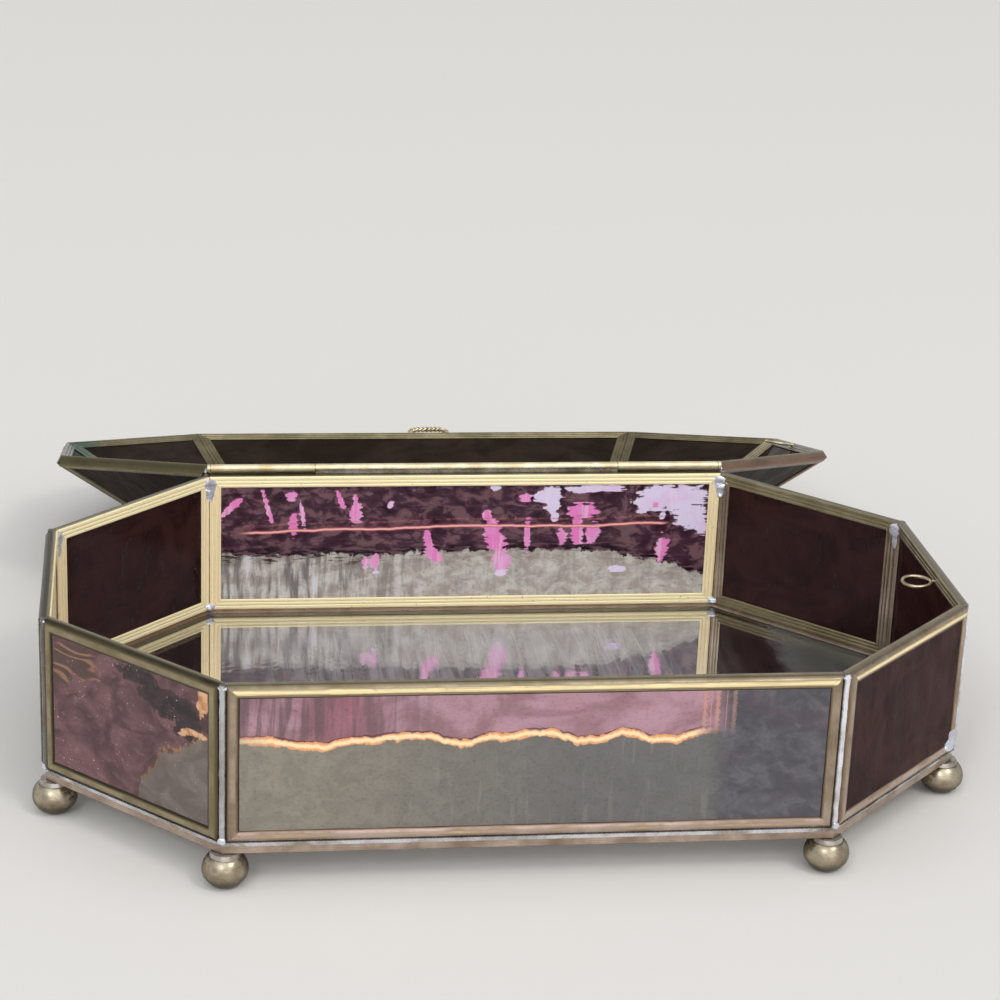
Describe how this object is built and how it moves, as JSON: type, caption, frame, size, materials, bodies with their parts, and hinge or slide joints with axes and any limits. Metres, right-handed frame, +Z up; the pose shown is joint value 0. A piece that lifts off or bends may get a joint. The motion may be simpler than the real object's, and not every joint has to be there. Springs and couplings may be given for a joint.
{
  "type": "glass casket box",
  "caption": "Eight-sided oblong box of dark wavy glass panes in brass cames, with a mirrored floor, ball feet and a hinged, faceted lid.",
  "frame": {"origin": "on the table, under the centre of the bounding box of the box with its lid laid back", "axes": "+X to the right along the hinge, +Y from the tray towards the laid-back lid, +Z up"},
  "size_m": [0.2572, 0.3206, 0.0589],
  "materials": {
    "brass_came": "aged, drawn lengthwise",
    "brass_fittings": "aged, worn bright on high spots",
    "wavy_glass": "dark amethyst, softly rippled, polished",
    "mirror_glass": "silvered behind clear glass",
    "solder": "bright tin-lead solder, lumpy"
  },
  "bodies": {
    "tray": {"front_wall_came": "brass_came", "front_right_wall_came": "brass_came", "right_wall_came": "brass_came", "back_right_wall_came": "brass_came", "back_wall_came": "brass_came", "back_left_wall_came": "brass_came", "left_wall_came": "brass_came", "front_left_wall_came": "brass_came", "front_wall_glass": "wavy_glass", "front_right_wall_glass": "wavy_glass", "right_wall_glass": "wavy_glass", "back_right_wall_glass": "wavy_glass", "back_wall_glass": "wavy_glass", "back_left_wall_glass": "wavy_glass", "left_wall_glass": "wavy_glass", "front_left_wall_glass": "wavy_glass", "floor_came": "brass_came", "floor_mirror": "mirror_glass", "wall_corner_solder": "solder", "floor_seam_solder": "solder", "front_right_foot": "brass_fittings", "right_front_foot": "brass_fittings", "right_back_foot": "brass_fittings", "back_right_foot": "brass_fittings", "back_left_foot": "brass_fittings", "left_back_foot": "brass_fittings", "left_front_foot": "brass_fittings", "front_left_foot": "brass_fittings", "foot_solder": "solder", "centre_hinge_knuckle": "brass_fittings", "hinge_pin": "brass_fittings", "tray_hinge_solder": "solder", "tray_stay_eye": "brass_fittings"},
    "lid": {"front_lid_came": "brass_came", "front_right_lid_came": "brass_came", "right_lid_came": "brass_came", "back_right_lid_came": "brass_came", "back_lid_came": "brass_came", "back_left_lid_came": "brass_came", "left_lid_came": "brass_came", "front_left_lid_came": "brass_came", "front_lid_glass": "wavy_glass", "front_right_lid_glass": "wavy_glass", "right_lid_glass": "wavy_glass", "back_right_lid_glass": "wavy_glass", "back_lid_glass": "wavy_glass", "back_left_lid_glass": "wavy_glass", "left_lid_glass": "wavy_glass", "front_left_lid_glass": "wavy_glass", "top_lid_came": "brass_came", "top_lid_glass": "wavy_glass", "lid_hip_solder": "solder", "lid_top_solder": "solder", "left_hinge_knuckle": "brass_fittings", "right_hinge_knuckle": "brass_fittings", "lid_hinge_solder": "solder", "lift_loop": "brass_fittings", "lid_stay_eye": "brass_fittings"}
  },
  "joints": [
    {"name": "lid_hinge", "type": "hinge", "parent": "tray", "child": "lid", "pos_m": [0, 0.00093, 0.05775], "axis": [-1, 0, 0], "range_deg": [-195.25, 12]}
  ]
}
